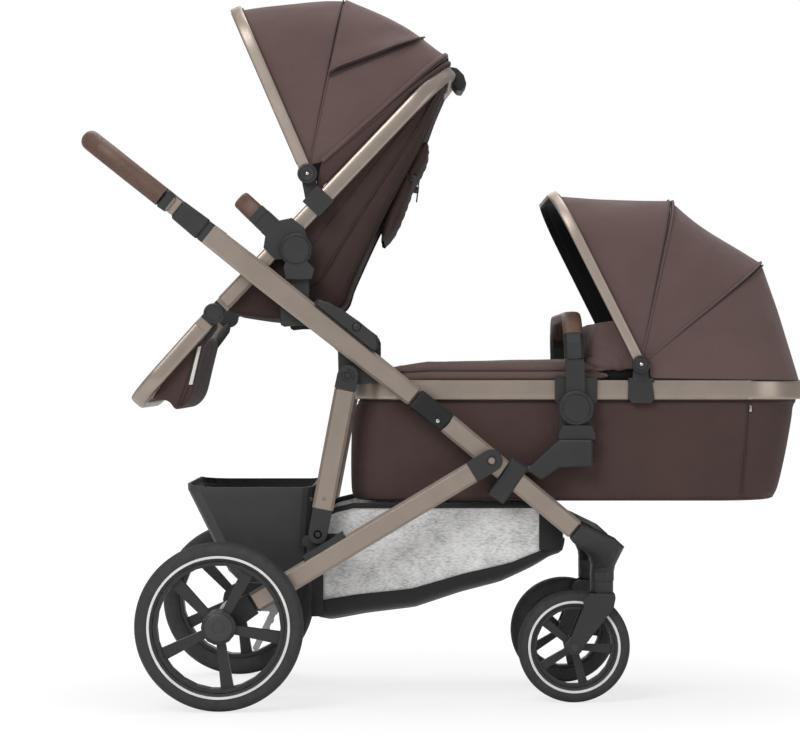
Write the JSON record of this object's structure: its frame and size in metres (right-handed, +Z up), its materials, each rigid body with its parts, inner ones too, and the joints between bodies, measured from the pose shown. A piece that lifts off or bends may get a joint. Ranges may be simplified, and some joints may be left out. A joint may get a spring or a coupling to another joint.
{
  "type": "twin pram",
  "caption": "Folding pram chassis with a parent-facing toddler seat above and a carrycot in front, storage tub, mesh basket, swivelling front wheels and leather-look grips.",
  "frame": {"origin": "on the floor under the centre of the bounding box", "axes": "+Z up, +X forwards from the push handle to the front casters and the carrycot end, +Y towards the left side of someone pushing it"},
  "size_m": [1.2712, 0.631, 1.2384],
  "materials": {
    "champagne_metal": "satin champagne anodised tube",
    "black_plastic": "fine-grained moulded plastic",
    "leather": "grained and stitched",
    "brown_fabric": "plain woven cloth over light padding",
    "tyre_rubber": "foam-filled tyre with a small tread",
    "mesh_fabric": "heather-grey mesh with black edging",
    "tub_plastic": "soft matt moulded shell",
    "grey_plastic": "light grey ribbed plastic"
  },
  "bodies": {
    "lower_frame": {"lower_tube_right": "champagne_metal", "lower_tube_left": "champagne_metal", "front_casting_right": "black_plastic", "front_casting_left": "black_plastic", "front_cross_tube": "black_plastic", "adapter_right": "black_plastic", "adapter_left": "black_plastic", "basket": "mesh_fabric"},
    "upper_frame": {"upper_tube_right": "champagne_metal", "upper_tube_left": "champagne_metal", "fold_housing_right": "black_plastic", "fold_housing_left": "black_plastic", "seat_mount_right": "black_plastic", "seat_mount_left": "black_plastic"},
    "rear_frame": {"rear_leg_right": "champagne_metal", "rear_leg_left": "champagne_metal", "rear_axle": "black_plastic", "rear_tub": "tub_plastic"},
    "struts": {"strut_right": "champagne_metal", "strut_left": "champagne_metal"},
    "handle": {"handle_bar": "black_plastic", "handle_grip": "leather"},
    "seat_button_right": {"seat_button_right": "black_plastic"},
    "seat_button_left": {"seat_button_left": "black_plastic"},
    "brake": {"brake_pedal": "grey_plastic"},
    "seat_base": {"seat_hub_right": "black_plastic", "seat_hub_left": "black_plastic"},
    "seat_frame": {"seat_tube": "champagne_metal", "seat_fabric": "brown_fabric", "canopy_clip_right": "black_plastic", "canopy_clip_left": "black_plastic", "seat_hood": "brown_fabric"},
    "recline_lever": {"recline_lever": "black_plastic"},
    "footrest": {"footrest_tube": "champagne_metal", "footrest_fabric": "brown_fabric"},
    "bumper": {"bumper_bar": "black_plastic", "bumper_grip": "leather"},
    "seat_bow_mid": {"seat_bow_mid": "champagne_metal"},
    "seat_bow_front": {"seat_bow_front": "champagne_metal"},
    "carrycot": {"cot_rail": "champagne_metal", "cot_body": "brown_fabric", "cot_apron": "brown_fabric", "cot_hub_right": "black_plastic", "cot_hub_left": "black_plastic", "cot_hood": "brown_fabric"},
    "carry_handle": {"carry_handle": "black_plastic", "carry_grip": "leather"},
    "cot_bow_mid": {"cot_bow_mid": "champagne_metal"},
    "cot_bow_front": {"cot_bow_front": "champagne_metal"},
    "caster_right": {"caster_fork_right": "black_plastic"},
    "caster_left": {"caster_fork_left": "black_plastic"},
    "front_wheel_right": {"front_tyre_right": "tyre_rubber", "front_rim_right": "black_plastic"},
    "front_wheel_left": {"front_tyre_left": "tyre_rubber", "front_rim_left": "black_plastic"},
    "rear_wheel_right": {"rear_tyre_right": "tyre_rubber", "rear_rim_right": "black_plastic"},
    "rear_wheel_left": {"rear_tyre_left": "tyre_rubber", "rear_rim_left": "black_plastic"}
  },
  "joints": [
    {"name": "fold", "type": "hinge", "parent": "lower_frame", "child": "upper_frame", "pos_m": [-0.0218, 0, 0.5139], "axis": [0, 1, 0], "range_deg": [0, 20]},
    {"name": "rear_leg_pivot", "type": "hinge", "parent": "lower_frame", "child": "rear_frame", "pos_m": [0.0809, 0, 0.4285], "axis": [0, 1, 0], "range_deg": [0, 12]},
    {"name": "strut_pivot", "type": "hinge", "parent": "upper_frame", "child": "struts", "pos_m": [-0.1673, 0, 0.5752], "axis": [0, 1, 0], "range_deg": [-10.5, 0]},
    {"name": "handle_slide", "type": "slide", "parent": "upper_frame", "child": "handle", "axis": [-0.7832, 0, 0.6217], "range_m": [0, 0.08]},
    {"name": "seat_button_right_push", "type": "slide", "parent": "upper_frame", "child": "seat_button_right", "axis": [0, 1, 0], "range_m": [0, 0.004], "stiffness_N_per_m": 400, "springref_m": -0.004},
    {"name": "seat_button_left_push", "type": "slide", "parent": "upper_frame", "child": "seat_button_left", "axis": [0, -1, 0], "range_m": [0, 0.004], "stiffness_N_per_m": 400, "springref_m": -0.004},
    {"name": "brake_tread", "type": "hinge", "parent": "rear_frame", "child": "brake", "pos_m": [-0.387, 0, 0.145], "axis": [0, 1, 0], "range_deg": [0, 20]},
    {"name": "seat_lift", "type": "slide", "parent": "upper_frame", "child": "seat_base", "axis": [0, 0, 1], "range_m": [0, 0.1]},
    {"name": "recline", "type": "hinge", "parent": "seat_base", "child": "seat_frame", "pos_m": [-0.2579, 0, 0.7934], "axis": [0, -1, 0], "range_deg": [-25, 0]},
    {"name": "recline_lever_squeeze", "type": "slide", "parent": "seat_frame", "child": "recline_lever", "axis": [0.6896, 0, 0.7242], "range_m": [0, 0.008], "stiffness_N_per_m": 600, "springref_m": -0.008},
    {"name": "footrest_tilt", "type": "hinge", "parent": "seat_frame", "child": "footrest", "pos_m": [-0.4012, 0, 0.6832], "axis": [0, 1, 0], "range_deg": [-15, 45]},
    {"name": "bumper_pull", "type": "slide", "parent": "seat_frame", "child": "bumper", "axis": [-0.735, 0, 0.678], "range_m": [0, 0.06]},
    {"name": "seat_canopy_mid", "type": "hinge", "parent": "seat_frame", "child": "seat_bow_mid", "pos_m": [-0.2384, 0, 0.9266], "axis": [0, 1, 0], "range_deg": [0, 30], "deforming": ["seat_hood"]},
    {"name": "seat_canopy_front", "type": "hinge", "parent": "seat_bow_mid", "child": "seat_bow_front", "pos_m": [-0.2384, 0, 0.9266], "axis": [0, 1, 0], "range_deg": [0, 30], "deforming": ["seat_hood"]},
    {"name": "cot_lift", "type": "slide", "parent": "lower_frame", "child": "carrycot", "axis": [0, 0, -1], "range_m": [-0.1, 0]},
    {"name": "carry_handle_turn", "type": "hinge", "parent": "carrycot", "child": "carry_handle", "pos_m": [0.229, 0, 0.5186], "axis": [0, 1, 0], "range_deg": [-40, 0]},
    {"name": "cot_canopy_mid", "type": "hinge", "parent": "carrycot", "child": "cot_bow_mid", "pos_m": [0.3421, 0, 0.5948], "axis": [0, 1, 0], "range_deg": [0, 33], "deforming": ["cot_hood"]},
    {"name": "cot_canopy_front", "type": "hinge", "parent": "cot_bow_mid", "child": "cot_bow_front", "pos_m": [0.3421, 0, 0.5948], "axis": [0, 1, 0], "range_deg": [0, 33], "deforming": ["cot_hood"]},
    {"name": "caster_right_swivel", "type": "hinge", "parent": "lower_frame", "child": "caster_right", "pos_m": [0.278, -0.16, 0.2144], "axis": [0, 0, 1], "continuous": true},
    {"name": "front_wheel_right_spin", "type": "hinge", "parent": "caster_right", "child": "front_wheel_right", "pos_m": [0.229, -0.16, 0.0985], "axis": [0, 1, 0], "continuous": true},
    {"name": "rear_wheel_right_spin", "type": "hinge", "parent": "rear_frame", "child": "rear_wheel_right", "pos_m": [-0.387, -0.293, 0.145], "axis": [0, 1, 0], "continuous": true},
    {"name": "caster_left_swivel", "type": "hinge", "parent": "lower_frame", "child": "caster_left", "pos_m": [0.278, 0.16, 0.2144], "axis": [0, 0, 1], "continuous": true},
    {"name": "front_wheel_left_spin", "type": "hinge", "parent": "caster_left", "child": "front_wheel_left", "pos_m": [0.229, 0.16, 0.0985], "axis": [0, 1, 0], "continuous": true},
    {"name": "rear_wheel_left_spin", "type": "hinge", "parent": "rear_frame", "child": "rear_wheel_left", "pos_m": [-0.387, 0.293, 0.145], "axis": [0, 1, 0], "continuous": true}
  ],
  "couplings": [
    {"joint": "rear_leg_pivot", "follows": "fold", "ratio": 0.555},
    {"joint": "strut_pivot", "follows": "fold", "ratio": -0.49},
    {"joint": "seat_canopy_front", "follows": "seat_canopy_mid", "ratio": 1},
    {"joint": "cot_canopy_front", "follows": "cot_canopy_mid", "ratio": 1}
  ]
}
